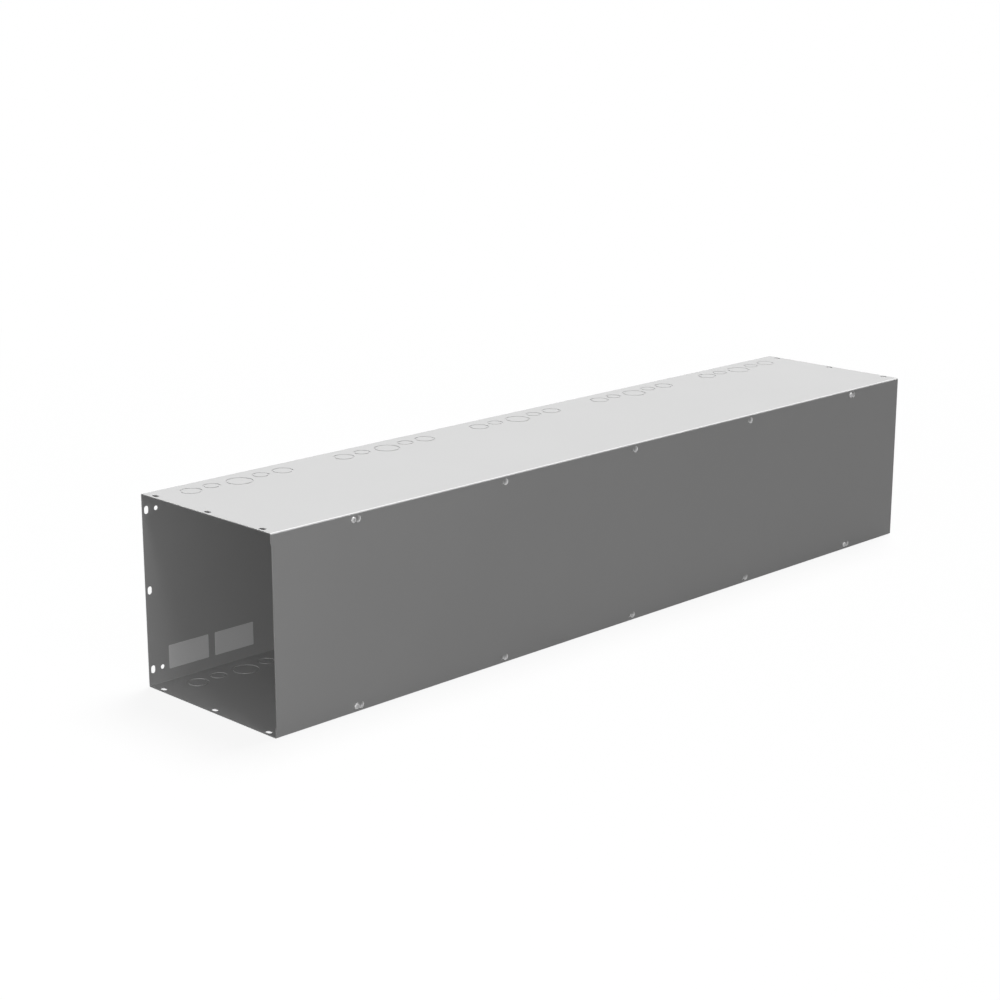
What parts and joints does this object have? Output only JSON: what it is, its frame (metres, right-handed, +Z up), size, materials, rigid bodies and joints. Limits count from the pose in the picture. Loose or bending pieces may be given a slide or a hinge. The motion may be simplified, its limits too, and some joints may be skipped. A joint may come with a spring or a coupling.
{
  "type": "screw cover wireway",
  "caption": "Square sheet-steel wireway: a folded trough with knockouts and slotted open ends, closed by a flat cover held by screws in keyholes.",
  "frame": {"origin": "middle of the underside of the trough", "axes": "+X along the wireway, -Y the way the cover faces, +Z up"},
  "size_m": [1.524, 0.3116, 0.3072],
  "materials": {
    "painted_sheet": "satin grey powder coat",
    "zinc_screw": "bright zinc plate"
  },
  "bodies": {
    "root": {"trough_body": "painted_sheet", "screw_cover": "painted_sheet", "cover_screw_1": "zinc_screw", "cover_screw_2": "zinc_screw", "cover_screw_3": "zinc_screw", "cover_screw_4": "zinc_screw"}
  },
  "joints": []
}
